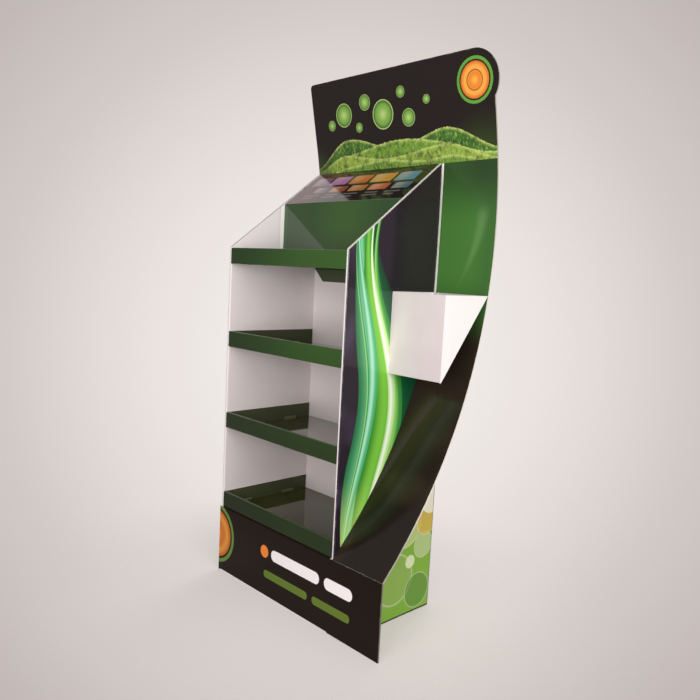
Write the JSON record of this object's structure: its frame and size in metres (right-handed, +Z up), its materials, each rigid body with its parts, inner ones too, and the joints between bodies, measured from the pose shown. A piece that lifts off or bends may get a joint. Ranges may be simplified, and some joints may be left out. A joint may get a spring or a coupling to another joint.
{
  "type": "cardboard display stand",
  "caption": "Free-standing cardboard display stand with open trays, a sloping panel, a curved header and side wing, a leaflet pocket and a plinth.",
  "frame": {"origin": "middle of the body's footprint, on the floor", "axes": "+Z up, the open front faces -Y, the wing stands on the +X side"},
  "size_m": [0.824, 0.421, 1.767],
  "materials": {
    "printed_wall_board": "white-lined corrugated board, gloss print on the outside",
    "tray_board": "high-gloss dark green print",
    "panel_board": "high-gloss print",
    "header_board": "gloss print in front, white behind",
    "pocket_board": "plain white",
    "plinth_board": "gloss black print",
    "fin_board": "gloss green print",
    "plain_board": "unprinted"
  },
  "bodies": {
    "root": {"body_wrap": "printed_wall_board", "tray_1": "tray_board", "tray_2": "tray_board", "tray_3": "tray_board", "tray_4": "tray_board", "info_panel": "panel_board", "curved_header": "header_board", "leaflet_pocket": "pocket_board", "plinth_front": "plinth_board", "side_fin": "fin_board", "base_rib_long": "plain_board", "base_rib_left": "plain_board", "base_rib_right": "plain_board"}
  },
  "joints": []
}
